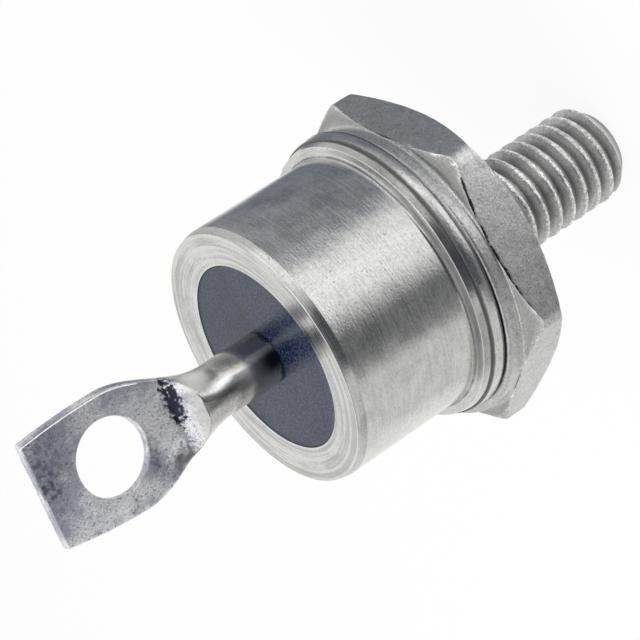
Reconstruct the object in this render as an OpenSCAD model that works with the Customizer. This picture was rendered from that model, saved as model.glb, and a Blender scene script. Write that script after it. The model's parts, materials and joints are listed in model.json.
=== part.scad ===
// Stud-mounted rectifier diode, potted cup on a hexagon base, in millimetres.
// The origin is on the axis, on the face of the hexagon that sits on a heat sink.
// +Z points to the terminal, and the flat faces of the terminal look along -Y and +Y.

/* [Hexagon] */
// Width across the flats
hex_af = 17.45; // [16.5:0.05:20]
// Height of the hexagon
hex_h = 2.75; // [2.5:0.05:5]
// Turn of the flats about the axis, against the terminal
hex_turn = 42; // [0:1:60]
// How much the round of the turned bar takes off the corners
corner_cut = 0.14; // [0.02:0.02:0.3]
// How far inside the flats the bevel starts on the seat face
seat_bevel_inset = 0.1; // [0:0.02:0.3]
// Slope of the bevel on the seat side, in degrees
seat_bevel_angle = 34; // [10:1:38]
// Slope of the bevel on the housing side, from the shoulder's foot out, in degrees
top_bevel_angle = 30; // [10:1:34]

/* [Shoulder] */
// How far the round shoulder lies inside the flats
shoulder_inset = 0.03; // [0.02:0.01:0.2]
// Height of the round shoulder above the hexagon
shoulder_h = 0.95; // [0.8:0.05:3]
// Radius of the fillet at the foot of the shoulder
shoulder_fillet = 0.2; // [0.1:0.05:0.3]
// Radius of the rounded upper edge of the shoulder
shoulder_round = 0.25; // [0.1:0.05:0.4]

/* [Stud] */
// Outer diameter of the M6 thread
stud_d = 5.85; // [5:0.05:8]
// Length of the stud below the seat face
stud_l = 11.5; // [8:0.1:20]
// Length of the bevel at the end of the stud
stud_bevel_l = 0.9; // [0.3:0.05:1.5]
// Diameter of the flat end of the stud
stud_end_d = 4.3; // [3.8:0.05:4.7]

/* [Solder joints] */
// How far the joint between the base and the housing lies back from their edges
base_joint_recess = 0.25; // [0.2:0.05:1]
// Thickness of the joint between the base and the housing
base_joint_h = 0.1; // [0.05:0.01:0.3]
// Thickness of the joints above and below the die
die_joint_h = 0.1; // [0.05:0.01:0.2]

/* [Housing] */
// Diameter of the turned housing
housing_d = 15.4; // [13:0.1:16.4]
// Height of the housing, flange and all
housing_h = 9.55; // [7:0.05:16]
// How far the housing was soldered off the axis of the stud, along X
housing_shift = 0.4; // [0:0.05:0.5]
// Diameter of the bore that holds the potting
bore_d = 11.15; // [9:0.05:12]
// Thickness of the housing's floor
floor_h = 1.6; // [1:0.1:2.5]
// Width of the steep bevel round the rim
rim_bevel_w = 0.15; // [0.05:0.05:0.4]
// Height of the steep bevel round the rim
rim_bevel_h = 0.55; // [0.1:0.05:0.8]
// How far the ring-shaped end face falls from the rim to the bore
face_fall = 0.15; // [0:0.05:0.3]
// How far the potting lies below the edge of the bore
potting_drop = 0.06; // [0:0.02:0.3]

/* [Flange] */
// How far the flange stands out from the housing
flange_w = 0.85; // [0.8:0.05:1.1]
// Height of the flange
flange_h = 0.72; // [0.5:0.02:1.2]
// How far the flange's side leans out on its way down
flange_lean = 0.1; // [0:0.01:0.2]
// Size of the bevel on the flange's upper edge
flange_bevel = 0.05; // [0.02:0.01:0.08]
// How far the tier on the flange is set back from the flange's edge
tier_back = 0.1; // [0.1:0.01:0.2]
// Height of the tier
tier_h = 0.53; // [0.2:0.01:0.8]
// How far the tier's side leans out on its way down
tier_lean = 0.12; // [0:0.01:0.2]
// Radius of the fillet between the tier and the housing
housing_fillet = 0.3; // [0.1:0.05:0.35]

/* [Die] */
// Side of the square silicon die
die_side = 5.2; // [3:0.1:6]
// Thickness of the die
die_h = 0.25; // [0.15:0.01:0.5]

/* [Lead] */
// Diameter of the round lead
lead_d = 3.1; // [2:0.05:3.6]
// Diameter of the upset head that is soldered to the die
head_d = 4.4; // [3.8:0.1:6]
// Height of the upset head
head_h = 0.8; // [0.4:0.1:1.5]

/* [Terminal] */
// Height of the terminal's hole above the housing
hole_reach = 10.3; // [9:0.05:16]
// Diameter of the terminal's hole
hole_d = 4.3; // [3:0.05:5]
// Distance from the hole's centre to the cut end
end_reach = 4.4; // [3.2:0.05:6]
// Greatest width of the flattened terminal
lug_w = 7.05; // [6:0.05:9]
// Width at the cut end
lug_end_w = 6.25; // [4:0.05:6.5]
// Thickness of the flattened terminal
lug_t = 0.7; // [0.6:0.05:1.6]
// How far the press bent the cut end sideways, along X
lug_shift = 0.35; // [0:0.05:0.4]
// Distance of the widest place below the hole's centre
widest_drop = 0.7; // [0:0.05:0.8]
// Distance below the hole's centre at which the lead starts to widen
flare_drop = 7.05; // [6:0.05:8]
// Distance below the hole's centre at which the press ramp starts
ramp_drop = 5.4; // [5:0.05:5.8]
// Distance below the hole's centre at which the press ramp ends
flat_drop = 4; // [3.6:0.05:4.6]
// Radius of the bulged side edges of the flat
side_radius = 0.9; // [0.85:0.05:1.4]
// Radius of the long edges between the bulged sides and the flat faces
edge_round = 0.15; // [0.05:0.05:0.25]

/* [Hidden] */
$fn = 96;

nickel = [0.74, 0.73, 0.71];
tin = [0.66, 0.67, 0.7];
solder = [0.4, 0.4, 0.42];
silicon = [0.25, 0.27, 0.32];
epoxy = [0.34, 0.36, 0.4];

// Points on each rounded corner of a turned profile
arc_steps = 6;
// How far joined solids reach into each other
overlap = 0.4;
// How much slimmer the lofted terminal starts than the round lead that carries it
loft_inset = 0.02;
// Points on each bulged side of the terminal's section
side_points = 13;
// Steepest direction that a side's points face, just short of the flat faces
side_turn = 88;
// Sections along the flare, the press ramp and the flat of the terminal
flare_steps = 5;
ramp_steps = 6;
flat_steps = 18;

// Heights, from the seat face up
shoulder_top = hex_h + shoulder_h;
housing_z = shoulder_top + base_joint_h;
housing_top = housing_z + housing_h;
flange_top = housing_z + flange_h;
tier_top = flange_top + tier_h;
bore_top = housing_top - face_fall;
floor_top = housing_z + floor_h;
die_z = floor_top + die_joint_h;
die_top = die_z + die_h;
head_z = die_top + die_joint_h;
hole_z = housing_top + hole_reach;
end_z = hole_z + end_reach;
widest_z = hole_z - widest_drop;
flare_z = hole_z - flare_drop;
ramp_z = hole_z - ramp_drop;
flat_z = hole_z - flat_drop;

// Radii
lead_r = lead_d / 2;
housing_r = housing_d / 2;
flange_r = housing_r + flange_w;
stud_r = stud_d / 2;
shoulder_r = hex_af / 2 - shoulder_inset;
foot_r = shoulder_r + shoulder_fillet;
seat_bevel_r = hex_af / 2 - seat_bevel_inset;
corner_r = hex_af / 2 / cos(30) - corner_cut;
joint_r = min(shoulder_r, flange_r + flange_lean - housing_shift) - base_joint_recess;

// Points of a circular arc in a profile, from angle a to angle b
function arc(centre, radius, a, b) =
    [for (i = [0 : arc_steps])
        let (angle = a + (b - a) * i / arc_steps)
        centre + radius * [cos(angle), sin(angle)]];

// Ease from 0 to 1 with level ends
function ease(u) =
    let (v = min(max(u, 0), 1))
    v * v * (3 - 2 * v);

// Half width of the terminal at height z
function half_width(z) =
    z < widest_z
        ? lead_r + (lug_w / 2 - lead_r) * ease((z - flare_z) / (widest_z - flare_z))
        : lug_w / 2 - (lug_w - lug_end_w) / 2 * pow((z - widest_z) / (end_z - widest_z), 2);

// Half thickness of the terminal at height z, with a straight ramp where the press began
function half_thickness(z) =
    let (u = min(max((z - ramp_z) / (flat_z - ramp_z), 0), 1))
    lead_r + (lug_t / 2 - lead_r) * u;

// Radius of the sides, from the lead's own to the flat's bulge, never below the half thickness
function bulge(z) =
    let (u = ease((z - ramp_z) / (widest_z - ramp_z)))
    max(lead_r + (side_radius - lead_r) * u, half_thickness(z));

// Sideways place of the terminal's middle at height z, bent more and more towards the cut end
function middle(z) = lug_shift * pow(max(z - flare_z, 0) / (end_z - flare_z), 2);

// One section of the terminal: two bulged sides, cut off flat by the press at the front and the back
// A point that faces past the bulge's reach lies on the rounded edge beside it
function section(z, inset = 0) =
    let (w = half_width(z) - inset, t = half_thickness(z) - inset, r = bulge(z) - inset)
    let (inner_r = r - edge_round)
    let (reach = asin((t - edge_round) / inner_r))
    let (side = [for (i = [0 : side_points - 1])
        let (facing = side_turn * (2 * i / (side_points - 1) - 1))
        let (bend = min(max(facing, -reach), reach))
        [w - r + inner_r * cos(bend) + edge_round * cos(facing),
         inner_r * sin(bend) + edge_round * sin(facing), z]])
    let (outline = concat(side, [for (p = side) [-p[0], -p[1], p[2]]]))
    [for (p = outline) p + [middle(z), 0, 0]];

function spread(from, to, steps) = [for (i = [0 : steps - 1]) from + (to - from) * i / steps];

// Solid through a list of rings that have the same number of points
module loft(rings) {
    n = len(rings[0]);
    last = (len(rings) - 1) * n;
    walls = [for (k = [0 : len(rings) - 2], i = [0 : n - 1])
        let (a = k * n + i, b = k * n + (i + 1) % n)
        each [[a, a + n, b], [b, a + n, b + n]]];
    bottom = [for (i = [0 : n - 1]) i];
    top = [for (i = [n - 1 : -1 : 0]) last + i];
    polyhedron([for (ring = rings) each ring], concat(walls, [bottom, top]));
}

module hexagon(height) {
    rotate(hex_turn + 30)
        cylinder(d = hex_af / cos(30), h = height, $fn = 6);
}

// Forged base in one piece: bevelled hexagon, round shoulder and stud
module stud_base() {
    seat_drop = (corner_r - seat_bevel_r) * tan(seat_bevel_angle);
    top_drop = (corner_r - foot_r) * tan(top_bevel_angle);
    color(nickel) {
        intersection() {
            hexagon(hex_h + shoulder_fillet);
            rotate_extrude()
                polygon(concat([[0, 0], [seat_bevel_r, 0], [corner_r, seat_drop],
                                [corner_r, hex_h - top_drop]],
                               arc([foot_r, hex_h + shoulder_fillet], shoulder_fillet, 270, 180),
                               [[0, hex_h + shoulder_fillet]]));
        }
        rotate_extrude()
            polygon(concat([[0, hex_h], [shoulder_r, hex_h]],
                           arc([shoulder_r - shoulder_round, shoulder_top - shoulder_round],
                               shoulder_round, 0, 90),
                           [[0, shoulder_top]]));
        rotate_extrude()
            polygon([[0, -stud_l], [stud_end_d / 2, -stud_l], [stud_r, stud_bevel_l - stud_l],
                     [stud_r, overlap], [0, overlap]]);
    }
}

// Thin joint that holds the housing on the base, seen as a dark line
module base_solder() {
    color(solder)
        translate([0, 0, shoulder_top])
            cylinder(r = joint_r, h = base_joint_h);
}

// Moves what the housing holds onto the housing's own axis
module on_housing_axis() {
    translate([housing_shift, 0, 0])
        children();
}

// Turned cup with a closed floor and a flange in two tiers at its foot
module housing_cup() {
    tier_r = flange_r - tier_back;
    color(nickel)
        difference() {
            rotate_extrude()
                polygon(concat([[0, housing_z], [flange_r + flange_lean, housing_z],
                                [flange_r, flange_top - flange_bevel],
                                [flange_r - flange_bevel, flange_top],
                                [tier_r, flange_top], [tier_r - tier_lean, tier_top]],
                               arc([housing_r + housing_fillet, tier_top + housing_fillet],
                                   housing_fillet, 270, 180),
                               [[housing_r, housing_top - rim_bevel_h],
                                [housing_r - rim_bevel_w, housing_top],
                                [bore_d / 2, bore_top], [0, bore_top]]));
            translate([0, 0, floor_top])
                cylinder(d = bore_d, h = housing_h);
        }
}

// Joint between the housing's floor and the die
module die_solder() {
    color(solder)
        translate([-die_side / 2, -die_side / 2, floor_top])
            cube([die_side, die_side, die_joint_h]);
}

module silicon_die() {
    color(silicon)
        translate([-die_side / 2, -die_side / 2, die_z])
            cube([die_side, die_side, die_h]);
}

// Joint between the die and the head of the lead
module lead_solder() {
    color(solder)
        translate([0, 0, die_top])
            cylinder(d = min(head_d, die_side), h = die_joint_h);
}

// Round lead with its upset head, up to where the press widens it
module round_lead() {
    translate([0, 0, head_z])
        cylinder(d = head_d, h = head_h);
    translate([0, 0, head_z])
        cylinder(d = lead_d, h = flare_z - head_z);
}

// Lead in one piece: head, round wire, and the end pressed flat and pierced
module terminal_lead() {
    root = [for (p = section(flare_z, loft_inset)) [p[0], p[1], flare_z - overlap]];
    heights = concat(spread(flare_z, ramp_z, flare_steps), spread(ramp_z, flat_z, ramp_steps),
                     spread(flat_z, end_z, flat_steps), [end_z]);
    rings = concat([root, section(flare_z, loft_inset)],
                   [for (i = [1 : len(heights) - 1]) section(heights[i])]);
    color(tin)
        difference() {
            union() {
                round_lead();
                loft(rings);
            }
            translate([middle(hole_z), 0, hole_z])
                rotate([90, 0, 0])
                    cylinder(d = hole_d, h = 2 * lead_d, center = true);
        }
}

// Cast filling of the cup, round the die and the lead
module potting() {
    color(epoxy)
        difference() {
            translate([0, 0, floor_top])
                cylinder(d = bore_d, h = bore_top - potting_drop - floor_top);
            die_solder();
            silicon_die();
            lead_solder();
            round_lead();
        }
}

stud_base();
base_solder();
on_housing_axis() housing_cup();
on_housing_axis() die_solder();
on_housing_axis() silicon_die();
on_housing_axis() lead_solder();
on_housing_axis() terminal_lead();
on_housing_axis() potting();
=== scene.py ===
import bmesh
import bpy
import json
import math
from mathutils import Matrix, Vector, noise


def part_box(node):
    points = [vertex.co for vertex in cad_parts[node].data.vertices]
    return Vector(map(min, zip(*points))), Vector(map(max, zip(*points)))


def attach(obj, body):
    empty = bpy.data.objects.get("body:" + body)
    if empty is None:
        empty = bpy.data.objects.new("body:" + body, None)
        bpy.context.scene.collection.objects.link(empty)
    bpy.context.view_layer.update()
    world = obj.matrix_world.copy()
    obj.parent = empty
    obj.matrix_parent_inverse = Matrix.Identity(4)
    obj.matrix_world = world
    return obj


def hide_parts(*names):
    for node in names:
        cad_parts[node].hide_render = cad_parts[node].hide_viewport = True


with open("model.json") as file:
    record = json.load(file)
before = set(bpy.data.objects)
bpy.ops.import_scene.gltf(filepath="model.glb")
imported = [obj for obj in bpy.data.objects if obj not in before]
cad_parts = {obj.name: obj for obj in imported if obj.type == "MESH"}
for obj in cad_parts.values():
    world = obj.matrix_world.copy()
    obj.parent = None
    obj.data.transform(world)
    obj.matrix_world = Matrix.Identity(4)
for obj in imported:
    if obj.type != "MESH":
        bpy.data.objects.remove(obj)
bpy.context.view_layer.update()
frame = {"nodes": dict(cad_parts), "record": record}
scene = bpy.context.scene
scene.view_settings.view_transform = "Standard"
mm = 0.001  # shapes are worked out in millimetres
print("stage: frame loaded")


def pick(sockets, key):  # a node's socket by number, identifier or name
    if isinstance(key, int):
        return sockets[key]
    return next(s for s in sockets if key in (s.identifier, s.name))


# a socket of a node tree; sums written with it add their Math nodes
class Wire:
    def __init__(self, tree, socket=None):
        self.tree = tree
        self.socket = socket

    def node(self, kind, settings=None, sockets=None, out=0):
        made = self.tree.nodes.new(kind)
        for key, value in (settings or {}).items():
            setattr(made, key, value)
        for key, value in (sockets or {}).items():
            target = pick(made.inputs, key)
            if isinstance(value, Wire):
                self.tree.links.new(value.socket, target)
            else:
                target.default_value = value
        return Wire(self.tree, pick(made.outputs, out)) if len(made.outputs) else None

    def beside(self, name):  # another output of the same node
        return Wire(self.tree, pick(self.socket.node.outputs, name))

    def sum(self, operation, first, second=0.0):
        return self.node("ShaderNodeMath", {"operation": operation}, {"Value": first, "Value_001": second})

    def __add__(self, other):
        return self.sum("ADD", self, other)

    def __sub__(self, other):
        return self.sum("SUBTRACT", self, other)

    def __mul__(self, other):
        return self.sum("MULTIPLY", self, other)

    def __truediv__(self, other):
        return self.sum("DIVIDE", self, other)

    def __radd__(self, other):
        return self.sum("ADD", other, self)

    def __rsub__(self, other):
        return self.sum("SUBTRACT", other, self)

    def __rmul__(self, other):
        return self.sum("MULTIPLY", other, self)


def rise(value, low, high):  # 0 below low, 1 above high, eased between
    return value.node("ShaderNodeMapRange", {"interpolation_type": "SMOOTHSTEP"},
                      {"Value": value, "From Min": low, "From Max": high})


def softStep(value, middle, width):
    return rise(value, middle - width / 2, middle + width / 2)


def clamped(value, low, high):
    return value.sum("MINIMUM", value.sum("MAXIMUM", value, low), high)


def larger(first, second):
    return first.sum("MAXIMUM", first, second)


def distance(across, up):
    return across.sum("POWER", across * across + up * up, 0.5)


def blendColour(factor, first, second):
    return factor.node("ShaderNodeMix", {"data_type": "RGBA"},
                       {"Factor_Float": factor, "A_Color": first, "B_Color": second}, "Result_Color")


def speckle(point, scale, detail=2.0, rough=0.5, warp=0.0):
    return point.node("ShaderNodeTexNoise", None, {"Vector": point, "Scale": scale, "Detail": detail,
                                                   "Roughness": rough, "Distortion": warp})


def stretched(point, along, across, up):
    return point.node("ShaderNodeVectorMath", {"operation": "MULTIPLY"},
                      {"Vector": point, "Vector_001": (along, across, up)})


def centred(point, axis):  # measured from an axis that stands aside along X
    return point.node("ShaderNodeVectorMath", {"operation": "SUBTRACT"},
                      {"Vector": point, "Vector_001": (axis, 0, 0)})


def split(point):  # its X, with Y and Z beside it
    return point.node("ShaderNodeSeparateXYZ", None, {"Vector": point})


def joined(x, y, z):
    return x.node("ShaderNodeCombineXYZ", None, {"X": x, "Y": y, "Z": z})


def reachOf(point):  # distance from the Z axis
    level = stretched(point, 1, 1, 0)
    return level.node("ShaderNodeVectorMath", {"operation": "LENGTH"}, {"Vector": level}, "Value")


def kept(point, name):  # a number kept on the mesh's points
    return point.node("ShaderNodeAttribute", {"attribute_name": name}, None, "Fac")


def blankTree(owner):  # the emptied node tree of a material or the world
    owner.use_nodes = True
    owner.node_tree.nodes.clear()
    return Wire(owner.node_tree)


def newMaterial(name):  # with its shader, and a place on the surface in millimetres
    material = bpy.data.materials.new(name)
    wire = blankTree(material)
    surface = wire.node("ShaderNodeBsdfPrincipled")
    wire.node("ShaderNodeOutputMaterial", None, {"Surface": surface})
    spot = wire.node("ShaderNodeTexCoord", out="Object")
    point = wire.node("ShaderNodeVectorMath", {"operation": "SCALE"}, {"Vector": spot, "Scale": 1 / mm})
    return material, surface.socket.node, point


def feed(shader, colour, roughness, height, depth):  # depth of the bump in millimetres
    bump = height.node("ShaderNodeBump", None, {"Height": height, "Strength": 1.0, "Distance": depth * mm})
    for name, value in (("Base Color", colour), ("Roughness", roughness), ("Normal", bump)):
        colour.tree.links.new(value.socket, shader.inputs[name])


def tint(red, green, blue):
    return (red, green, blue, 1.0)


def grey(level):
    return tint(level, level, level)


def nearRing(radius, height, ring, size):  # 1 on a ring given as (radius, height), 0 beyond size from it
    return 1 - rise(distance(radius - ring[0], height - ring[1]), 0.0, size)


# in each finish: noises are scale per millimetre, detail, roughness and distortion, cuts are where
# a soft step begins and ends, and the other small dictionaries weigh what is added up


# cup: satin nickel, turned in fine lines, with painted shade in its creases and on the front of its tier's
# ledge, and painted highlights on its ridges
def turnedNickel(axis, faceFrom, creases, ridges, ledge):
    look = {"light": tint(0.74, 0.735, 0.715), "dark": tint(0.50, 0.50, 0.495),
            "speck": tint(0.17, 0.17, 0.175), "grime": tint(0.10, 0.10, 0.105),
            "rubbed": tint(0.90, 0.895, 0.88), "rough": 0.2, "lineDepth": 0.0055,
            "linesPerMm": 11.0, "lineLength": 1.6, "groovesPerMm": 4.5, "grooveSpread": 0.12,
            "creaseSize": 0.26, "ridgeSize": 0.09, "ragged": 0.9, "faceFade": 0.05, "dustFade": 0.3,
            "dustEdge": (-0.02, 0.04), "speckShare": 0.6, "ridgeShare": 0.6, "creaseShare": 0.85,
            "dustShare": 0.8}
    noises = {"line": (1.0, 2.0, 0.6), "groove": (1.0, 3.0, 0.65), "grain": (7.5, 2.0, 0.6),
              "cloud": (0.7, 4.0, 0.6), "speck": (6.0, 1.0), "blots": (0.9, 2.0)}
    cuts = {"speck": (0.71, 0.77), "crease": (0.25, 0.7), "ridge": (0.35, 0.85), "dust": (0.6, 0.9),
            "tone": (0.34, 0.62)}
    tones = {"line": 0.3, "grain": 0.32, "cloud": 0.32, "base": 0.03, "groove": 1.2}
    roughs = {"cloud": 0.2, "line": 0.08, "crease": 0.25, "face": 0.03}
    heights = {"line": 0.45, "grain": 0.75, "cloud": 2.0, "groove": 0.9, "speck": 0.5}
    material, shader, point = newMaterial("turnedNickel")
    point = centred(point, axis)
    parts = split(point)
    height = parts.beside("Z")
    radius = reachOf(point)

    def wound(spread, rows):  # a place drawn out round the axis
        return joined(parts * spread, parts.beside("Y") * spread, rows)

    face = rise(height, faceFrom, faceFrom + look["faceFade"])
    line = speckle(wound(1 / look["lineLength"], (height - radius) * look["linesPerMm"]), *noises["line"])
    groove = speckle(wound(look["grooveSpread"], radius * look["groovesPerMm"]), *noises["groove"])
    grain = speckle(point, *noises["grain"])
    cloud = speckle(point, *noises["cloud"])
    speck = rise(speckle(point, *noises["speck"]), *cuts["speck"]) * (1 - face)
    blots = speckle(point, *noises["blots"])
    ragged = (grain - 0.5) * look["ragged"] + (blots - 0.5) * look["ragged"]

    def follow(rings, size, cut):  # a ragged line along rings of the profile
        return rise(sum(nearRing(radius, height, ring, size) for ring in rings) * (1 + ragged), *cut)

    # painted shade along the creases
    crease = follow(creases, look["creaseSize"], cuts["crease"])
    ridge = follow(ridges, look["ridgeSize"], cuts["ridge"])
    inner, outer, top = ledge  # painted shade lies on the ledge, on the front
    ledgeShade = rise(parts.beside("Y") / radius * -1, *cuts["dust"]) * (1 - rise(radius, inner, outer))
    ledgeShade = ledgeShade * rise(radius, *(inner + off for off in look["dustEdge"]))
    ledgeShade = ledgeShade * (1 - rise(height, top, top + look["dustFade"]))
    tone = line * tones["line"] + grain * tones["grain"] + cloud * tones["cloud"] + tones["base"]
    tone = tone + (groove - 0.5) * face * tones["groove"]
    colour = blendColour(rise(tone, *cuts["tone"]), look["dark"], look["light"])
    colour = blendColour(speck * look["speckShare"], colour, look["speck"])
    # painted highlights along the ridges
    colour = blendColour(ridge * look["ridgeShare"], colour, look["rubbed"])
    # painted shade: the creases and the ledge's front are darkened
    shadeMask = larger(crease * look["creaseShare"], ledgeShade * look["dustShare"])
    colour = blendColour(shadeMask, colour, look["grime"])
    rough = look["rough"] + (cloud - 0.5) * roughs["cloud"] + (line - 0.5) * roughs["line"]
    rough = rough + crease * roughs["crease"] + face * roughs["face"]
    relief = line * heights["line"] + grain * heights["grain"] + cloud * heights["cloud"]
    relief = relief + groove * face * heights["groove"] - speck * heights["speck"]
    shader.inputs["Metallic"].default_value = 1.0
    feed(shader, colour, rough, relief, look["lineDepth"])
    return material


# base: matt grainy nickel with bright scratches, painted highlights on burrs and rolled crests, and painted
# shade in the thread's roots, on the corner bevels and in the crevices where the flats meet the shoulder
def forgedNickel(crestRadius, rootRadius):
    look = {"light": tint(0.70, 0.70, 0.69), "dark": tint(0.35, 0.35, 0.355), "bare": tint(0.93, 0.93, 0.91),
            "root": tint(0.26, 0.26, 0.255), "torn": tint(0.03, 0.03, 0.034), "rough": 0.31,
            "grainDepth": 0.019, "strokesPerMm": (1.5, 1.5, 9.0), "crestBand": 0.2, "crestTop": 0.05,
            "rootShare": 0.7, "threadShare": 0.12, "dullShare": 0.65, "tornGrain": 1.1}
    noises = {"grain": (9.0, 3.0, 0.7), "pits": (2.2, 5.0, 0.65, 0.4), "strokes": (1.0, 1.0)}
    cuts = {"strokes": (0.65, 0.72), "thread": (-0.25, -0.05), "shine": (0.45, 0.95), "torn": (0.4, 0.75),
            "tone": (0.3, 0.64)}
    tones = {"grain": 0.7, "pits": 0.3}
    shines = {"crest": 0.05, "pits": 1.1, "grain": 1.4, "strokes": 0.5}
    roughs = {"shine": 0.2, "pits": 0.12, "root": 0.1}
    heights = {"grain": 0.9, "pits": 0.3, "strokes": 0.3, "torn": 0.6}
    material, shader, point = newMaterial("forgedNickel")
    radius = reachOf(point)
    grain = speckle(point, *noises["grain"])
    pits = speckle(point, *noises["pits"])
    strokes = rise(speckle(stretched(point, *look["strokesPerMm"]), *noises["strokes"]), *cuts["strokes"])
    thread = 1 - rise(split(point).beside("Z"), *cuts["thread"])
    crestLow = crestRadius - look["crestBand"]
    crest = rise(radius, crestLow, crestRadius - look["crestTop"]) * thread
    root = (1 - rise(radius, rootRadius, crestLow)) * thread
    # painted highlights on the burrs and the thread's crests, and bright scratches on the hexagon
    shine = kept(point, "burr") + crest * (shines["crest"] + pits * shines["pits"])
    shine = shine + (grain - 0.5) * shines["grain"] + strokes * (1 - thread) * shines["strokes"]
    shine = rise(shine, *cuts["shine"])
    # painted shade in the crevice where a flat meets the shoulder
    torn = rise(kept(point, "tear") + (grain - 0.5) * look["tornGrain"], *cuts["torn"])
    # painted shade in the thread's roots and on the hexagon's corner bevels; the thread a little darker all
    # over
    dark = root * look["rootShare"] + thread * look["threadShare"] + kept(point, "dull") * look["dullShare"]
    tone = grain * tones["grain"] + pits * tones["pits"]
    colour = blendColour(rise(tone, *cuts["tone"]), look["dark"], look["light"])
    colour = blendColour(dark, colour, look["root"])
    colour = blendColour(shine, colour, look["bare"])
    colour = blendColour(torn, colour, look["torn"])
    rough = look["rough"] - shine * roughs["shine"] + (pits - 0.5) * roughs["pits"] + root * roughs["root"]
    relief = grain * heights["grain"] + pits * heights["pits"] + strokes * heights["strokes"]
    shader.inputs["Metallic"].default_value = 1.0
    feed(shader, colour, rough, relief - torn * heights["torn"], look["grainDepth"])
    return material


# lead and terminal: bright tin, browned on the wire, mottled and scarred where the press flattened it, with
# painted highlights and painted shade on it
def tinnedWire(pressedFrom, wireFoot):
    look = {"light": tint(0.84, 0.84, 0.865), "dark": tint(0.47, 0.48, 0.55),
            "wire": tint(0.60, 0.59, 0.57), "wireDark": tint(0.45, 0.4425, 0.4275),
            "soot": tint(0.02, 0.02, 0.024), "pale": tint(0.95, 0.95, 0.95), "dusk": tint(0.10, 0.11, 0.16),
            "bruise": tint(0.26, 0.25, 0.235), "scar": tint(0.03, 0.034, 0.055),
            "wireMetal": 0.95, "flatMetal": 0.86, "edgeMetal": 0.6, "rough": 0.15, "pressRough": 0.03,
            "mattRough": 0.08, "mattMost": 1.5, "grainRough": 0.1, "dingDepth": 0.034, "pressFade": 0.9,
            "sootFade": 0.35, "sootShare": 0.9, "paleShare": 0.45, "duskShare": 0.2, "duskCrumbs": 0.75,
            "pepperShare": 0.55, "markReach": 1.35, "markEdge": 0.4, "crisp": 0.7, "soft": 1.2}
    noises = {"mottle": (0.75, 5.0, 0.62, 0.5), "grain": (6.0, 3.0, 0.65), "crumbs": (4.2, 2.0),
              "patches": (0.42, 2.0), "pepper": (7.0, 1.0)}
    cuts = {"front": (-0.3, -0.1), "patches": (0.42, 0.6), "pepper": (0.6, 0.7), "edge": (0.45, 0.8),
            "tone": (0.41, 0.65), "wire": (0.3, 0.7), "dusk": (0.34, 0.68)}
    breaks = {"crumbs": 3.0, "grain": 0.8, "mottle": 1.2, "burn": 0.3, "edge": 0.6}
    tones = {"mottle": 0.6, "grain": 0.1, "patches": 0.3, "crumbs": 0.25, "marks": 0.12}
    heights = {"mottle": 0.45, "grain": 0.12, "patches": 0.35, "pepper": 0.3, "wire": 0.1, "marks": 0.5}
    # marks on the front face: middle (x, z), half width and height, strength
    # painted shade: the notch is painted blue-black, a painted dark reflection in its dent
    notches = (((1.35, 19.36), (1.5, 0.36), 1.0),)
    bruises = (((-1.8, 20.0), (0.75, 0.95), 0.75),)
    # painted shade on the front face
    shades = (((-0.75, 21.6), (1.4, 0.5), 0.8), ((2.6, 27.0), (2.4, 1.9), 0.6),
              ((0.4, 27.6), (2.2, 0.7), 0.5))
    # painted shade at the wire's foot and beside the wire's highlight streak
    deepShades = (((0.65, 13.5), (0.65, 0.85), 0.95), ((0.3, 16.4), (0.3, 1.5), 0.5))
    # painted highlights on the ramp, along one side of the flat, as a streak on the wire and on the flare's
    # top
    highlights = (((-0.4, 18.5), (1.7, 0.7), 0.3), ((-2.7, 25.2), (1.3, 3.4), 0.4),
             ((1.0, 16.4), (0.26, 1.5), 2.0), ((1.9, 18.0), (0.4, 1.1), 2.0))
    material, shader, point = newMaterial("tinnedWire")
    parts = split(point)
    along = parts.beside("Z")
    front = 1 - rise(parts.beside("Y"), *cuts["front"])
    pressed = rise(along, pressedFrom, pressedFrom + look["pressFade"])
    mottle = speckle(point, *noises["mottle"])
    grain = speckle(point, *noises["grain"])
    crumbs = speckle(point, *noises["crumbs"])
    patches = rise(speckle(point, *noises["patches"]), *cuts["patches"])
    pepper = rise(speckle(point, *noises["pepper"]), *cuts["pepper"]) * pressed
    ragged = (crumbs - 0.5) * breaks["crumbs"] + (grain - 0.5) * breaks["grain"]
    cloudy = (mottle - 0.5) * breaks["mottle"]

    def marked(marks, uneven, width):  # marks whose edges are broken up by uneven, and this wide
        total = 0
        for middle, half, strength in marks:
            off = distance((parts - middle[0]) / half[0], (along - middle[1]) / half[1])
            inside = softStep(look["markReach"] - off + uneven, look["markEdge"], width)
            total = total + inside * front * strength
        return total

    notched = marked(notches, ragged, look["crisp"])
    bruised = marked(bruises, ragged, look["crisp"])
    shaded = marked(shades, cloudy, look["soft"])
    highlighted = marked(highlights, cloudy, look["soft"])
    deepShaded = marked(deepShades, cloudy * breaks["burn"], look["soft"])
    edge = rise(kept(point, "edge") + (grain - 0.5) * breaks["edge"], *cuts["edge"])
    # painted shade on the wire just above the filling
    wireFootShade = 1 - rise(along + cloudy, wireFoot, wireFoot + look["sootFade"])
    tone = mottle * tones["mottle"] + grain * (tones["grain"] + patches * tones["patches"])
    tone = rise(tone + crumbs * tones["crumbs"] + (highlighted - shaded) * tones["marks"], *cuts["tone"])
    wire = blendColour(rise(grain, *cuts["wire"]), look["wireDark"], look["wire"])
    colour = blendColour(pressed, wire, blendColour(tone, look["dark"], look["light"]))
    colour = blendColour(highlighted * look["paleShare"], colour, look["pale"])
    # painted shade where the shades lie, deepened in crumbs
    dusk = shaded * (look["duskShare"] + rise(crumbs, *cuts["dusk"]) * look["duskCrumbs"])
    colour = blendColour(dusk, colour, look["dusk"])
    colour = blendColour(pepper * look["pepperShare"], colour, look["dusk"])
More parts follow.
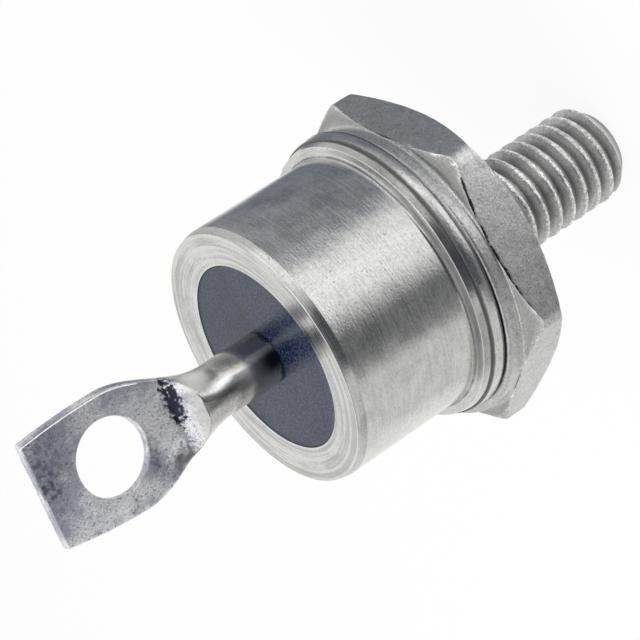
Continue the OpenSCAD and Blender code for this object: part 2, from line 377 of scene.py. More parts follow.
    # painted highlight along the flat's edge, pale and less metallic
    colour = blendColour(edge, colour, look["pale"])
    colour = blendColour(larger(wireFootShade * look["sootShare"], deepShaded), colour, look["soot"])
    colour = blendColour(bruised, colour, look["bruise"])
    # the notch's painted dark reflection
    colour = blendColour(notched, colour, look["scar"])
    metal = look["wireMetal"] + pressed * (look["flatMetal"] - look["wireMetal"]) - edge * look["edgeMetal"]
    colour.tree.links.new(metal.socket, shader.inputs["Metallic"])
    rough = look["rough"] + pressed * (look["pressRough"] + look["mattRough"] * (look["mattMost"] - tone))
    rough = rough + (grain - 0.5) * look["grainRough"]
    relief = mottle * heights["mottle"] + grain * (heights["grain"] + patches * heights["patches"])
    relief = (relief - pepper * heights["pepper"]) * pressed + grain * heights["wire"]
    feed(shader, colour, rough, relief - (notched + bruised) * heights["marks"], look["dingDepth"])
    return material


# filling: dark blue-grey cast epoxy with a faint grain and a painted shade line along the metal
def castEpoxy(edgeRadius, axis):
    look = {"light": tint(0.035, 0.051, 0.102), "dark": tint(0.001, 0.004, 0.020),
            "dust": tint(0.18, 0.19, 0.21), "rough": 0.2, "grainDepth": 0.016, "ior": 1.45, "dustShare": 0.5,
            "rimLine": (0.12, 0.02), "grainRough": 0.2, "rimRough": 0.3, "dustHeight": 0.3}
    noises = {"cloud": (0.5, 3.0), "grain": (7.0, 2.0), "dust": (8.0, 1.0)}
    cuts = {"dust": (0.64, 0.74), "tone": (0.38, 0.66)}
    tones = {"cloud": 0.2, "grain": 0.8}
    material, shader, point = newMaterial("castEpoxy")
    point = centred(point, axis)
    cloud = speckle(point, *noises["cloud"])
    grain = speckle(point, *noises["grain"])
    dust = rise(speckle(point, *noises["dust"]), *cuts["dust"])
    # painted shade along the bore's edge
    rimLine = rise(reachOf(point), *(edgeRadius - inset for inset in look["rimLine"]))
    tone = rise(cloud * tones["cloud"] + grain * tones["grain"], *cuts["tone"])
    colour = blendColour(tone, look["dark"], look["light"])
    colour = blendColour(dust * look["dustShare"], colour, look["dust"])
    colour = blendColour(rimLine, colour, look["dark"])
    rough = look["rough"] + (grain - 0.5) * look["grainRough"] + rimLine * look["rimRough"]
    shader.inputs["IOR"].default_value = look["ior"]
    feed(shader, colour, rough, grain + dust * look["dustHeight"], look["grainDepth"])
    return material


# joints and die: two tones of one noise
def twoTone(look):
    material, shader, point = newMaterial(look["name"])
    grain = speckle(stretched(point, *look["perMm"]), *look["noise"])
    colour = blendColour(rise(grain, *look["cut"]), look["dark"], look["light"])
    shader.inputs["Metallic"].default_value = look["metal"]
    feed(shader, colour, look["rough"] + (grain - 0.5) * look["grainRough"], grain, look["depth"])
    return material


def span(node):  # a node's corners in millimetres
    low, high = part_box(node)
    return low / mm, high / mm


mounts = {mount["name"]: mount for mount in frame["record"]["mounts"]}
baseLow, baseHigh = span("stud_base")
cupLow, cupHigh = span("housing_cup")
fillLow, fillHigh = span("potting")
leadLow, leadHigh = span("terminal_lead")
dieHigh = span("silicon_die")[1]
jointLow = span("lead_solder")[0]
studRadius = mounts["stud"]["dims"]["r_mm"]
holeRadius = mounts["terminal_hole"]["dims"]["r_mm"]
holeAside = mounts["terminal_hole"]["pos_m"][0] / mm
holeHeight = mounts["terminal_hole"]["pos_m"][2] / mm
cupAxis = (cupLow.x + cupHigh.x) / 2  # the cup was soldered a little off the stud's axis
footRadius = (cupHigh.x - cupLow.x) / 2
boreRadius = (fillHigh.x - fillLow.x) / 2


# shared shape helpers, all in millimetres
def eased(x):
    x = max(0.0, min(1.0, x))
    return x * x * (3 - 2 * x)


def arc(middle, radius, start, stop, steps):
    angles = [math.radians(start + (stop - start) * i / steps) for i in range(steps + 1)]
    return [(middle[0] + radius * math.cos(a), middle[1] + radius * math.sin(a)) for a in angles]


def towards(start, stop, steps):  # points after start, up to stop
    return [(start[0] + (stop[0] - start[0]) * i / steps, start[1] + (stop[1] - start[1]) * i / steps)
            for i in range(1, steps + 1)]


def softened(corners, steps=5):  # corners (r, z, round) become a profile with rounded corners
    profile = []
    for i, (r, z, size) in enumerate(corners):
        here = Vector((r, z))
        if size == 0 or i in (0, len(corners) - 1):
            profile.append((r, z))
            continue
        back = (Vector(corners[i - 1][:2]) - here).normalized()
        on = (Vector(corners[i + 1][:2]) - here).normalized()
        half = back.angle(on) / 2
        reach = size / math.tan(half)
        middle = here + (back + on).normalized() * size / math.sin(half)
        first = here + back * reach - middle
        last = here + on * reach - middle
        turn = first.angle_signed(last)
        for j in range(steps + 1):
            spoke = first.copy()
            spoke.rotate(Matrix.Rotation(-turn * j / steps, 2))
            profile.append(tuple(middle + spoke))
    return profile


def spotAround(radius, angle, height, axis=0.0):
    return Vector((axis + radius * math.cos(angle), radius * math.sin(angle), height))


def ringAt(radius, height, angles, axis=0.0):
    return [spotAround(radius, a, height, axis) for a in angles]


def ripple(spot, strength, scale):
    return strength * noise.noise(spot * scale)


def skin(rings, closed=False):  # quads between neighbouring rings of points
    shell = bmesh.new()
    rows = [[shell.verts.new(p) for p in ring] for ring in rings]
    pairs = list(zip(rows, rows[1:]))
    if closed:
        pairs.append((rows[-1], rows[0]))
    for low, high in pairs:
        for i in range(len(low)):
            j = (i + 1) % len(low)
            shell.faces.new((low[i], low[j], high[j], high[i]))
    return shell


def toObject(shell, name, sharpAngle):
    bmesh.ops.remove_doubles(shell, verts=shell.verts, dist=1e-4)
    bmesh.ops.dissolve_degenerate(shell, edges=shell.edges, dist=1e-5)
    bmesh.ops.recalc_face_normals(shell, faces=shell.faces)
    bmesh.ops.scale(shell, vec=(mm, mm, mm), verts=shell.verts)
    mesh = bpy.data.meshes.new(name)
    shell.to_mesh(mesh)
    shell.free()
    mesh.shade_smooth()
    mesh.set_sharp_from_angle(angle=math.radians(sharpAngle))
    piece = bpy.data.objects.new(name, mesh)
    scene.collection.objects.link(piece)
    return piece


def turned(corners, steps, name, axis=0.0, closed=False, sharpAngle=35):
    angles = [2 * math.pi * i / steps for i in range(steps)]
    rings = [ringAt(r, z, angles, axis) for r, z in softened(corners)]
    return toObject(skin(rings, closed), name, sharpAngle)


def finalMesh(piece):  # a piece's mesh with its modifiers applied
    bpy.context.view_layer.update()
    return bpy.data.meshes.new_from_object(piece.evaluated_get(bpy.context.evaluated_depsgraph_get()))


def place(piece, material, slot, *nodes):
    piece.data.materials.clear()
    piece.data.materials.append(material)
    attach(piece, "root")
    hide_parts(*nodes)


# the stud's rolled thread: a grid wound round the axis, sheared by one pitch a turn
stud = {"length": -baseLow.z, "major": studRadius, "pitch": 1.0, "groove": 0.55, "neck": 2.6, "runOut": 0.3,
        "endRadius": 2.15, "endBevel": 0.9, "crestShare": 0.25, "rootShare": 0.2, "crestRough": 0.09,
        "roughScale": 3.4, "around": 240, "rowsPerTurn": 14, "endRings": 5}


def threadTree(sizes):  # the sizes become its inputs; the keys are what a modifier asks for
    tree = bpy.data.node_groups.new("rolledThread", "GeometryNodeTree")
    tree.interface.new_socket("Mesh", in_out="OUTPUT", socket_type="NodeSocketGeometry")
    kinds = {int: "NodeSocketInt", float: "NodeSocketFloat", bpy.types.Material: "NodeSocketMaterial"}
    keys = {}
    for label, value in sizes.items():
        socket = tree.interface.new_socket(label, in_out="INPUT", socket_type=kinds[type(value)])
        keys[label] = socket.identifier
    wire = Wire(tree)
    given = wire.node("NodeGroupInput")
    size = {label: given.beside(label) for label in sizes}
    grid = wire.node("GeometryNodeMeshGrid", None, {"Size X": 1.0, "Size Y": 1.0,
                                                   "Vertices X": size["Around"] + 1,
                                                   "Vertices Y": size["Rows"] + 1})
    spot = split(wire.node("GeometryNodeInputPosition"))
    turn = spot + 0.5
    travel = (spot.beside("Y") + 0.5) * size["Travel"]
    depth = clamped(travel - size["Pitch"] * turn, 0.0, size["Length"])
    slope = wire.sum("ABSOLUTE", wire.sum("FRACT", travel / size["Pitch"]) * 2 - 1)
    sink = (slope - size["Crest Share"]) / (1 - size["Crest Share"] - size["Root Share"])
    sink = clamped(sink, 0.0, 1.0)
    angle = turn * (2 * math.pi) + size["Start"]
    cosine = wire.sum("COSINE", angle)
    sine = wire.sum("SINE", angle)
    onCrest = joined(cosine * size["Major"], sine * size["Major"], depth)
    rough = speckle(onCrest, size["Rough Scale"], 3.0) * size["Crest Rough"]
    full = size["Major"] - sink * size["Groove"] - rough * (1 - sink)
    wound = size["Neck"] + (full - size["Neck"]) * rise(depth, 0.0, size["Run Out"])
    taper = (size["Length"] - depth) * (size["Major"] - size["End Radius"]) / size["End Bevel"]
    radius = wire.sum("MINIMUM", wound, size["End Radius"] + taper)
    spotAt = joined(cosine * radius, sine * radius, depth * -1)
    shaped = wire.node("GeometryNodeSetPosition", None, {"Geometry": grid, "Position": spotAt})
    merged = wire.node("GeometryNodeMergeByDistance", None, {"Geometry": shaped, "Distance": 1e-7})
    real = wire.node("GeometryNodeRealizeInstances", None, {"Geometry": merged})
    finished = wire.node("GeometryNodeSetMaterial", None, {"Geometry": real, "Material": size["Finish"]})
    wire.node("NodeGroupOutput", None, {0: finished})
    return tree, keys


def rolledThread(startAngle, material):  # the thread as a plain mesh in metres
    turns = math.ceil(stud["length"] / stud["pitch"]) + 1
    lengths = {"Length": "length", "Major": "major", "Pitch": "pitch", "Groove": "groove", "Neck": "neck",
               "Run Out": "runOut", "End Radius": "endRadius", "End Bevel": "endBevel",
               "Crest Rough": "crestRough"}
    sizes = {label: stud[key] * mm for label, key in lengths.items()}
    sizes |= {"Crest Share": stud["crestShare"], "Root Share": stud["rootShare"],
              "Rough Scale": stud["roughScale"] / mm, "Start": startAngle, "Around": stud["around"],
              "Rows": turns * stud["rowsPerTurn"], "Travel": turns * stud["pitch"] * mm, "Finish": material}
    tree, keys = threadTree(sizes)
    holder = bpy.data.objects.new("threadHolder", bpy.data.meshes.new("threadHolder"))
    scene.collection.objects.link(holder)
    modifier = holder.modifiers.new("thread", "NODES")
    modifier.node_group = tree
    for label, value in sizes.items():
        modifier[keys[label]] = value
    mesh = finalMesh(holder)
    bpy.data.objects.remove(holder)
    return mesh


# hexagon and shoulder: one profile for each direction, cut short by the flats
hexagon = {"acrossFlats": 17.45, "turn": 42.0, "height": 2.75, "cornerTurn": 9.935, "seatStart": -0.1,
           "seatAngle": 34.0, "topAngle": 30.0, "foot": 0.2, "shoulder": 8.695, "shoulderRound": 0.25,
           "flatWave": 0.02, "flatSink": 0.6, "flatRipple": (1.0, 0.9), "burrSize": 0.05, "burrSink": 0.6,
           "burrMean": 0.55, "burrCoarse": (0.9, 2.3), "burrFine": (0.35, 7.1), "burrLift": (1.0, 4.7),
           "tornReach": 0.25, "tornFlat": 4, "tornWhole": 4, "tornMean": 0.9, "tornRipple": (0.7, 1.7),
           "dullFade": 0.25, "sharpAngle": 32}
profileRows = {"seat": 10, "seatBevel": 3, "flat": 12, "topBevel": 4, "foot": 5, "shoulder": 4, "crown": 6,
               "top": 6}
lowEdge = profileRows["seat"] + profileRows["seatBevel"]  # the rows where a flat begins and ends
highEdge = lowEdge + profileRows["flat"]
burrRows = {lowEdge: 0.6, lowEdge + 1: 0.3, highEdge - 1: 0.35, highEdge: 1.0, highEdge + 1: 0.45}
creviceRows = {highEdge - 1: 0.3, highEdge: 0.9}  # painted crevice shade where a flat meets the shoulder
bevelShadeRows = {highEdge + 1: 0.6, highEdge + 2: 1.0, highEdge + 3: 1.0, highEdge + 4: 0.6}  # corner bevels, darkened as painted shade


def hexReach(angle):
    sixth = math.pi / 3
    off = (angle - math.radians(hexagon["turn"]) + sixth / 2) % sixth - sixth / 2
    return min(hexagon["acrossFlats"] / 2 / math.cos(off), hexagon["cornerTurn"])


def hexProfile(angle):  # from the stud over seat, flat and shoulder to the axis
    reach = hexReach(angle)
    seatEdge = hexagon["acrossFlats"] / 2 + hexagon["seatStart"]
    height, foot, shoulder = hexagon["height"], hexagon["foot"], hexagon["shoulder"]
    footEdge = shoulder + foot
    start = (stud["neck"], 0)
    seat = (min(seatEdge, reach), 0)
    flatLow = (reach, max(reach - seatEdge, 0) * math.tan(math.radians(hexagon["seatAngle"])))
    if reach > footEdge:  # a corner slopes down from the foot, a flat cuts the foot's round short
        flatHigh = (reach, height - (reach - footEdge) * math.tan(math.radians(hexagon["topAngle"])))
        footStart = (footEdge, height)
    else:
        flatHigh = (reach, height + foot - math.sqrt(foot ** 2 - (footEdge - reach) ** 2))
        footStart = flatHigh
    swing = math.degrees(math.acos((footStart[0] - footEdge) / foot))
    curve = arc((footEdge, height + foot), foot, -swing, -180, profileRows["foot"])
    top, crownRound = baseHigh.z, hexagon["shoulderRound"]
    crown = arc((shoulder - crownRound, top - crownRound), crownRound, 0, 90, profileRows["crown"])
    return ([start] + towards(start, seat, profileRows["seat"])
            + towards(seat, flatLow, profileRows["seatBevel"])
            + towards(flatLow, flatHigh, profileRows["flat"])
            + towards(flatHigh, footStart, profileRows["topBevel"]) + curve[1:]
            + towards(curve[-1], crown[0], profileRows["shoulder"]) + crown[1:]
            + towards(crown[-1], (0, top), profileRows["top"]))


def creviceShare(angle):  # painted crevice shade along a flat's upper edge in its middle, and on one flat all along
    flat = round((angle - math.radians(hexagon["turn"])) / (math.pi / 3)) % 6
    spread = hexagon["tornReach"] * (hexagon["tornWhole"] if flat == hexagon["tornFlat"] else 1)
    return eased((hexagon["acrossFlats"] / 2 + spread - hexReach(angle)) / hexagon["tornReach"])


def burredAndShaded(row, angle, r, z):  # a point of the profile, how burred it is, and how much painted crevice shade and painted bevel shade it gets
    spot = spotAround(r, angle, z)
    burr = 0.0
    if row in burrRows:
        coarse, fine = ripple(spot, *hexagon["burrCoarse"]), ripple(spot, *hexagon["burrFine"])
        burr = burrRows[row] * max(0.0, hexagon["burrMean"] + coarse + fine)
        r -= hexagon["burrSize"] * burr * hexagon["burrSink"]
        z += hexagon["burrSize"] * burr * ripple(spot, *hexagon["burrLift"])
    elif lowEdge + 1 < row < highEdge - 1:
        r += hexagon["flatWave"] * (ripple(spot, *hexagon["flatRipple"]) - hexagon["flatSink"])
    torn = hexagon["tornMean"] + ripple(spot, *hexagon["tornRipple"])
    corner = eased((hexReach(angle) - hexagon["shoulder"] - hexagon["foot"]) / hexagon["dullFade"])
    marks = (burr, creviceRows.get(row, 0.0) * creviceShare(angle) * torn, bevelShadeRows.get(row, 0.0) * corner)
    return spotAround(r, angle, z), marks


def hexBase(material):
    startAngle = math.radians(hexagon["turn"])
    angles = [startAngle + 2 * math.pi * i / stud["around"] for i in range(stud["around"])]
    profiles = [hexProfile(a) for a in angles]
    rows = [[burredAndShaded(row, a, *profile[row]) for a, profile in zip(angles, profiles)]
            for row in range(len(profiles[0]))]
    shell = skin([[spot for spot, marks in row] for row in rows])
    layers = [shell.verts.layers.float.new(name) for name in ("burr", "tear", "dull")]
    for vert, (spot, marks) in zip(shell.verts, sum(rows, [])):
        for layer, mark in zip(layers, marks):
            vert[layer] = mark
    low = -stud["length"]
    end = [(0, low)] + towards((0, low), (stud["endRadius"], low), stud["endRings"])
    disc = skin([ringAt(r, z, angles) for r, z in end])
    cap = bpy.data.meshes.new("cap")
    disc.to_mesh(cap)
    disc.free()
    thread = rolledThread(startAngle, material)
    thread.transform(Matrix.Scale(1 / mm, 4))
    for mesh in (cap, thread):
        shell.from_mesh(mesh)
        bpy.data.meshes.remove(mesh)
    return toObject(shell, "studBase", hexagon["sharpAngle"])


forged = forgedNickel(studRadius, studRadius - stud["groove"])
base = hexBase(forged)
place(base, forged, "forged_nickel", "stud_base")
print("stage: stud base", len(base.data.polygons), "faces")


# cup: flange in two tiers and side turned in one piece, with a steep bevel round the rim
cup = {"side": 7.7, "flangeTop": 4.52, "flange": 8.55, "tier": 8.45, "tierTop": 5.05, "tierHead": 8.33,
       "rim": 7.55, "rimLow": 12.8, "boreTop": 13.2, "boreRound": 0.1, "footRound": 0.3, "edgeRound": 0.05,
       "faceDrop": 0.1, "dustReach": 0.2, "steps": 288}
creases = ((cup["tier"], cup["flangeTop"]), (cup["side"], cup["tierTop"]), (footRadius, cupLow.z))
ridges = ((cup["flange"], cup["flangeTop"]), (cup["tierHead"], cup["tierTop"]), (cup["rim"], cupHigh.z),
          (boreRadius, cup["boreTop"]))
ledge = (cup["side"], cup["tierHead"] + cup["dustReach"], cup["tierTop"])


def housingCup(material):
    edge = cup["edgeRound"]
    corners = [(0, cupLow.z, 0), (footRadius, cupLow.z, edge), (cup["flange"], cup["flangeTop"], edge),
               (cup["tier"], cup["flangeTop"], edge / 3), (cup["tierHead"], cup["tierTop"], edge),
               (cup["side"], cup["tierTop"], cup["footRound"]), (cup["side"], cup["rimLow"], edge * 2),
               (cup["rim"], cupHigh.z, edge), (boreRadius, cup["boreTop"], edge),
               (boreRadius, fillLow.z, cup["boreRound"]), (0, fillLow.z, 0)]
    place(turned(corners, cup["steps"], "housingCup", cupAxis), material, "turned_nickel", "housing_cup")


housingCup(turnedNickel(cupAxis, cup["boreTop"] - cup["faceDrop"], creases, ridges, ledge))
print("stage: housing cup")


# lead: a round wire whose end is pressed flat, trimmed and pierced
lead = {"wire": 1.55, "head": 2.2, "headTop": 6.65, "flare": 16.6, "ramp": 18.25, "rampBend": 18.95,
        "flat": 19.75, "widest": 22.95, "thickness": 0.7, "width": 7.05, "endWidth": 6.25, "sideRadius": 0.9,
        "edgeRound": 0.15, "endRound": 0.06, "edgeFade": 1.5, "sideSteps": 12, "flatSteps": 24,
        "wireRows": 24, "rampRow": 0.08, "rampEnd": 20.6, "flatRows": 70, "sharpAngle": 40,
        "holeFlare": 0.05, "holeRound": 0.2, "holeSteps": 128, "wave": 0.035, "waveScale": 0.55,
        "waveFade": 0.6, "dentReach": 1.35, "dentMean": 0.6, "dentRipple": (0.8, 2.4),
        # dents of the press: place along X and Z, half width and height, depth
        "dents": ((1.25, 19.38, 1.6, 0.5, 0.12), (-1.75, 20.1, 0.85, 1.05, 0.14),
                  (-0.75, 21.5, 1.1, 0.3, 0.03))}


def halfWidth(z):
    full = lead["width"] / 2
    if z < lead["widest"]:
        share = eased((z - lead["flare"]) / (lead["widest"] - lead["flare"]))
        return lead["wire"] + (full - lead["wire"]) * share
    return full - (full - lead["endWidth"] / 2) * ((z - lead["widest"]) / (leadHigh.z - lead["widest"])) ** 2


def halfThickness(z):  # a straight ramp that bends into the flat
    straight = lead["rampBend"] - lead["ramp"]
    bend = lead["flat"] - lead["rampBend"]
    drop = (lead["wire"] - lead["thickness"] / 2) / (straight + bend / 2)
    on = max(0.0, min(straight, z - lead["ramp"]))
    past = max(0.0, min(bend, z - lead["rampBend"]))
    return lead["wire"] - drop * (on + past - past * past / bend / 2)


def pushed(z):  # the press bent the flat end sideways, more and more towards the cut
    return cupAxis + (holeAside - cupAxis) * (max(z - lead["flare"], 0.0) / (holeHeight - lead["flare"])) ** 2


def sideBulge(z):
    share = eased((z - lead["ramp"]) / (lead["widest"] - lead["ramp"]))
    return max(lead["wire"] + (lead["sideRadius"] - lead["wire"]) * share, halfThickness(z))


def pressMarks(x, z):  # how deep the press left its marks on the front face
    strength, scale = lead["dentRipple"]
    depth = lead["dentMean"] + strength * noise.noise(Vector((x * scale, 0, z * scale)))
    return sum(deep * depth * eased(lead["dentReach"] - math.hypot((x - aside) / wide, (z - along) / high))
               for aside, along, wide, high, deep in lead["dents"])


def uneven(x, y, z, thick):  # a point of the outline, pushed in by waves and marks
    share = min(1.0, abs(y) / thick) * eased((z - lead["rampBend"]) / lead["waveFade"])
    scale = lead["waveScale"]
    depth = lead["wave"] * (0.5 + 0.5 * noise.noise(Vector((x * scale, math.copysign(2, y), z * scale))))
    if y < 0:
        depth += pressMarks(x, z)
    return Vector((x, y - math.copysign(max(0.0, depth) * share, y), z))


def leadSection(z, inset=0.0):
    width, thick, bulge = halfWidth(z) - inset, halfThickness(z) - inset, sideBulge(z) - inset
    soft = lead["edgeRound"]
    limit = math.asin(max(0.0, min(1.0, (thick - soft) / (bulge - soft))))
    quarter = []
    for i in range(lead["sideSteps"] + 1):
        facing = math.pi / 2 * i / lead["sideSteps"]
        bend = min(facing, limit)
        quarter.append((width - bulge + (bulge - soft) * math.cos(bend) + soft * math.cos(facing),
                        (bulge - soft) * math.sin(bend) + soft * math.sin(facing)))
    quarter += towards(quarter[-1], (0, quarter[-1][1]), lead["flatSteps"])
    upper = quarter + [(-x, y) for x, y in reversed(quarter[:-1])]
    outline = upper + [(x, -y) for x, y in reversed(upper[1:-1])]
    return [uneven(pushed(z) + x, y, z, thick) for x, y in outline]


def edgeMarks():  # 1 for the points of a section where a side rounds into a face
    quarter = [float(i in (lead["sideSteps"] - 1, lead["sideSteps"]))
               for i in range(lead["sideSteps"] + lead["flatSteps"] + 1)]
    upper = quarter + quarter[-2::-1]
    return upper + upper[-2:0:-1]


def headRing(z):  # the round section grown to the upset head
    grow = lead["head"] / lead["wire"]
    return [Vector((cupAxis + (p.x - cupAxis) * grow, p.y * grow, z)) for p in leadSection(z)]


def sectionHeights():  # rows up the wire, close together on the ramp, and along the flat
    headTop, flare, rampEnd = lead["headTop"], lead["flare"], lead["rampEnd"]
    wireRows, flatRows, step = lead["wireRows"], lead["flatRows"], lead["rampRow"]
    heights = [headTop + i * (flare - headTop) / wireRows for i in range(wireRows)]
    heights += [flare + i * step for i in range(int((rampEnd - flare) / step))]
    return heights + [rampEnd + i * (leadHigh.z - lead["endRound"] - rampEnd) / flatRows
                      for i in range(flatRows + 1)]


def terminalLead(material):
    rings = [headRing(leadLow.z), headRing(lead["headTop"])]
    rings += [leadSection(z) for z in sectionHeights()]
    tip = leadSection(leadHigh.z - lead["endRound"], lead["endRound"])
    rings.append([Vector((p.x, p.y, leadHigh.z)) for p in tip])
    shell = skin(rings)
    shell.verts.ensure_lookup_table()
    count = len(rings[0])
    edgeLayer = shell.verts.layers.float.new("edge")
    marks = edgeMarks()
    for i, vert in enumerate(shell.verts):  # the flat's edge on the X side gets a painted highlight
        highlit = eased((vert.co.z - lead["flat"]) / lead["edgeFade"]) * eased(vert.co.x)
        vert[edgeLayer] = marks[i % count] * highlit
    shell.faces.new(shell.verts[-count:])
    shell.faces.new(list(reversed(shell.verts[:count])))
    piece = toObject(shell, "terminalLead", lead["sharpAngle"])
    pierce(piece)
    place(piece, material, "tinned_wire", "terminal_lead")
    return piece


def pierce(piece):  # the hole, its rims drawn a little open by the punch
    half = lead["thickness"] / 2
    flare, soft = lead["holeFlare"], lead["holeRound"]
    over = 1  # the cutter stands out on both sides
    corners = [(0, -half - over, 0), (holeRadius + flare + over, -half - over, 0),
               (holeRadius, -half + flare, soft), (holeRadius, half - flare, soft),
               (holeRadius + flare + over, half + over, 0), (0, half + over, 0)]
    cutter = turned(corners, lead["holeSteps"], "holeCutter")
    cutter.data.transform(Matrix.Rotation(math.pi / 2, 4, "X"))
    cutter.data.transform(Matrix.Translation((holeAside * mm, 0, holeHeight * mm)))
    cut = piece.modifiers.new("hole", "BOOLEAN")
    cut.operation = "DIFFERENCE"
    cut.solver = "EXACT"
    cut.object = cutter
    pierced = finalMesh(piece)
    piece.modifiers.clear()
    piece.data = pierced
    bpy.data.objects.remove(cutter)
    pierced.shade_smooth()
    pierced.set_sharp_from_angle(angle=math.radians(lead["sharpAngle"]))


terminal = terminalLead(tinnedWire(lead["ramp"], fillHigh.z))
print("stage: terminal lead", len(terminal.data.polygons), "faces")


# filling: a little below the bore's edge, a shade lower away from the metal
filling = {"sink": 0.03, "leadDrop": 0.02, "leadMeniscus": 0.06, "leadRound": 0.05, "meniscus": 0.16,
           "meniscusRise": 0.01, "meniscusRound": 0.1, "steps": 192}


def pottedFill(material):
    face, bottom = fillHigh.z, fillLow.z
    low = face - filling["sink"]
    wire, head, headTop = lead["wire"], lead["head"], lead["headTop"]
    dieReach = math.hypot(dieHigh.x - cupAxis, dieHigh.y)
    corners = [(wire, headTop, 0), (wire, face - filling["leadDrop"], 0),
               (wire + filling["leadMeniscus"], low, filling["leadRound"]),
               (boreRadius - filling["meniscus"], low + filling["meniscusRise"], filling["meniscusRound"]),
               (boreRadius, face, 0), (boreRadius, bottom, 0), (dieReach, bottom, 0),
               (dieReach, jointLow.z, 0), (head, jointLow.z, 0), (head, headTop, 0)]
    place(turned(corners, filling["steps"], "pottedFill", cupAxis, True), material, "epoxy", "potting")


pottedFill(castEpoxy(boreRadius, cupAxis))
print("stage: filling")

# pieces that stay as solids get their finish: dull dark solder, and silicon with the lines of the saw
joints = {"name": "dullSolder", "light": tint(0.10, 0.10, 0.105), "dark": tint(0.03, 0.03, 0.033),
          "metal": 1.0, "rough": 0.55, "grainRough": 0.3, "depth": 0.02, "perMm": (2.5, 2.5, 2.5),
          "noise": (1.0, 4.0, 0.6), "cut": (0.35, 0.65)}
die = {"name": "sawnSilicon", "light": tint(0.10, 0.115, 0.16), "dark": tint(0.045, 0.05, 0.075),
       "metal": 0.6, "rough": 0.2, "grainRough": 0.2, "depth": 0.002, "perMm": (0.4, 14.0, 0.4),
       "noise": (1.0, 2.0), "cut": (0.35, 0.65)}
solder = twoTone(joints)
finishes = {"base_solder": solder, "die_solder": solder, "lead_solder": solder, "silicon_die": twoTone(die)}
for node, material in finishes.items():
    frame["nodes"][node].data.materials.clear()
    frame["nodes"][node].data.materials.append(material)
print("stage: joints and die")


# camera at the photograph's angle, rolled so that the diode lies aslant
shot = {"azimuth": 21.0, "elevation": 26.482, "roll": -123.458, "aim": (0.3752, 0.2038, 9.112),
        "distance": 160.282, "lens": 167.64, "sensor": 36.0, "clipStart": 0.001}
azimuth, elevation, roll = (math.radians(shot[key]) for key in ("azimuth", "elevation", "roll"))
level = math.cos(elevation)
back = Vector((math.sin(azimuth) * level, -math.cos(azimuth) * level, math.sin(elevation)))
side = Vector((0, 0, 1)).cross(back).normalized()
up = back.cross(side)
lens = bpy.data.cameras.new("photoCamera")
lens.lens = shot["lens"]
lens.sensor_width = shot["sensor"]
lens.clip_start = shot["clipStart"]
camera = bpy.data.objects.new("photoCamera", lens)
tilted = Matrix((side, up, back)).transposed() @ Matrix.Rotation(roll, 3, "Z")
stand = Vector(shot["aim"]) * mm + back * shot["distance"] * mm
camera.matrix_world = Matrix.Translation(stand) @ tilted.to_4x4()
scene.collection.objects.link(camera)
scene.camera = camera
print("stage: camera")


# studio: white floor and world, a bowl of cards that only reflections see, one soft lamp
studio = {"floorSize": 1200, "floorGap": 0.05, "floorGlow": 0.9, "floorPaint": grey(0.9), "worldLevel": 0.75,
          "lampPlace": (-140, -160, 190), "lampSize": 150, "lampPower": 0.45, "eye": 7.0,
          "bowl": ((16, -11.3), (80, -11.3), (80, 75)), "bowlSteps": 180, "bowlLevel": tint(0.79, 0.79, 0.78)}
# cards on the bowl: compass angle, half width, soft edge, lowest and highest elevation, soft rim, colour
cards = {"paleSide": (135, 42, 20, -90, -15, 4, tint(1.0, 1.0, 0.98)),
         "lowFlag": (257, 19, 12, -90, -15, 3, tint(0.25, 0.255, 0.26)),
         "tableShade": (30, 56, 18, -90, -15, 4, tint(0.19, 0.21, 0.25)),
         "lowLamp": (298, 17, 16, -90, -15, 3, tint(1.27, 1.28, 1.29)),
         "footFill": (230, 33, 14, -36, -26.5, 3, grey(0.64)),
         "footFlag": (272, 14, 8, -36, -26.5, 3, grey(0.34)),
         "footLamp": (306, 18, 14, -36, -26.5, 3, grey(0.88)),
         "footShade": (30, 52, 18, -36, -26.5, 3, tint(0.31, 0.32, 0.34)),
         "nearLamp": (322, 30, 14, -56, -37, 4, grey(2.6)),
         "paleEnd": (103, 26, 10, -32, -19.5, 3, tint(0.92, 0.92, 0.91)),
         "wireShade": (40, 44, 16, -17.6, -15.8, 1, tint(0.34, 0.33, 0.32)),
         "wireFlag": (268, 20, 10, -17.6, -15.8, 1, tint(0.03, 0.03, 0.035)),
         "wireLamp": (310, 19, 10, -17.6, -15.8, 1, grey(2.0)),
         "dimSide": (30, 70, 40, -16, 0, 8, grey(0.62)),
         "dimFront": (215, 26, 20, -9, 2, 5, grey(0.45)),
         "middleFill": (330, 40, 16, -9, 1, 4, grey(0.38)),
         "flag": (278, 28, 10, -15.8, 17, 2, tint(0.07, 0.075, 0.085)),
         "middleLamp": (333, 13, 12, -15, -10.5, 3, grey(1.9)),
         "highLamp": (343, 24, 14, 2, 14, 4, grey(1.3)),
         "backFill": (111, 85, 50, 14, 60, 6, tint(0.90, 0.90, 0.89)),
         "darkRoom": (300, 100, 60, 14, 60, 6, tint(0.20, 0.21, 0.24)),
         "roomLamp": (314, 15, 10, 18, 50, 6, grey(2.0))}


def seenByShine(wire):  # 1 for what the camera, a reflection or a clear piece looks at
    path = wire.node("ShaderNodeLightPath")
    shine = larger(path.beside("Is Camera Ray"), path.beside("Is Glossy Ray"))
    return larger(shine, path.beside("Is Transmission Ray"))


def floorMaterial():
    material = bpy.data.materials.new("paleFloor")
    wire = blankTree(material)
    glow = wire.node("ShaderNodeEmission", None, {"Color": grey(1.0), "Strength": 1.0})
    paint = wire.node("ShaderNodeBsdfDiffuse", None, {"Color": studio["floorPaint"]})
    mixed = wire.node("ShaderNodeMixShader", None,
                      {"Fac": seenByShine(wire) * studio["floorGlow"], "Shader": paint, "Shader_001": glow})
    wire.node("ShaderNodeOutputMaterial", None, {"Surface": mixed})
    return material


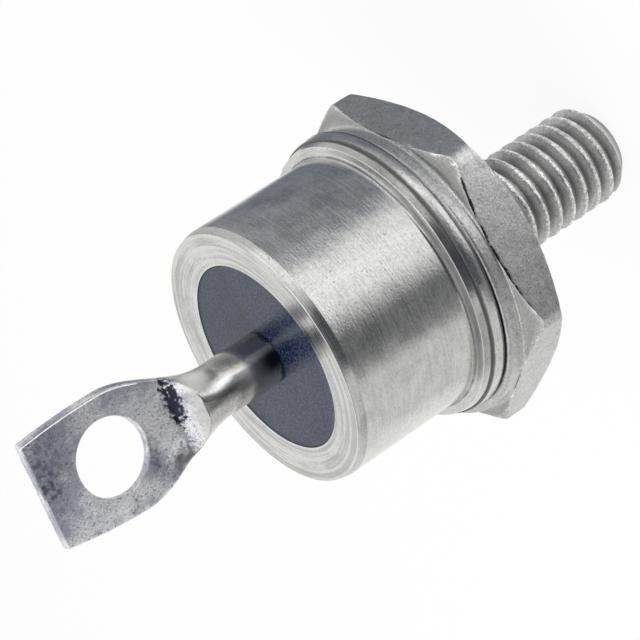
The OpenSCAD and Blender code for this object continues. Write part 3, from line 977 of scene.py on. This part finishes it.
def cardMaterial():
    material = bpy.data.materials.new("studioCards")
    wire = blankTree(material)
    parts = split(wire.node("ShaderNodeTexCoord", out="Object"))
    degrees = 180 / math.pi
    compass = wire.sum("ARCTAN2", parts.beside("Y"), parts) * degrees
    level = distance(parts, parts.beside("Y"))
    height = wire.sum("ARCTAN2", parts.beside("Z") - studio["eye"] * mm, level) * degrees
    colour = studio["bowlLevel"]
    for centre, half, soft, lowest, highest, rim, shade in cards.values():
        off = wire.node("ShaderNodeMath", {"operation": "WRAP"},
                        {"Value": compass - centre, "Value_001": 180.0, "Value_002": -180.0})
        within = softStep(height, lowest, rim) * (1 - softStep(height, highest, rim))
        near = 1 - softStep(wire.sum("ABSOLUTE", off), half, soft)
        colour = blendColour(near * within, colour, shade)
    glow = wire.node("ShaderNodeEmission", None, {"Color": colour, "Strength": 1.0})
    wire.node("ShaderNodeOutputMaterial", None, {"Surface": glow})
    return material


def stagePiece(shell, name, material):
    piece = toObject(shell, name, 180)
    piece.data.materials.append(material)
    return piece


def buildWorld():
    world = bpy.data.worlds.new("studioWorld")
    wire = blankTree(world)
    ambient = wire.node("ShaderNodeBackground", None, {"Color": grey(1.0), "Strength": studio["worldLevel"]})
    white = wire.node("ShaderNodeBackground", None, {"Color": grey(1.0), "Strength": 1.0})
    mixed = wire.node("ShaderNodeMixShader", None,
                      {"Fac": seenByShine(wire), "Shader": ambient, "Shader_001": white})
    wire.node("ShaderNodeOutputWorld", None, {"Surface": mixed})
    scene.world = world


def buildStudio():
    half = studio["floorSize"] / 2
    floor = bmesh.new()
    corners = ((-half, -half), (half, -half), (half, half), (-half, half))
    floor.faces.new([floor.verts.new((x, y, baseLow.z - studio["floorGap"])) for x, y in corners])
    stagePiece(floor, "floor", floorMaterial())
    angles = [2 * math.pi * i / studio["bowlSteps"] for i in range(studio["bowlSteps"])]
    bowl = stagePiece(skin([ringAt(*corner, angles) for corner in studio["bowl"]]), "bowl", cardMaterial())
    bowl.visible_camera = False
    bowl.visible_diffuse = False
    bowl.visible_transmission = False
    bowl.visible_shadow = False
    buildWorld()
    lamp = bpy.data.lights.new("softLamp", "AREA")
    lamp.size = studio["lampSize"] * mm
    lamp.energy = studio["lampPower"]
    holder = bpy.data.objects.new("softLamp", lamp)
    holder.location = Vector(studio["lampPlace"]) * mm
    holder.rotation_euler = holder.location.to_track_quat("Z", "Y").to_euler()
    holder.visible_glossy = False
    scene.collection.objects.link(holder)


buildStudio()
print("stage: studio")
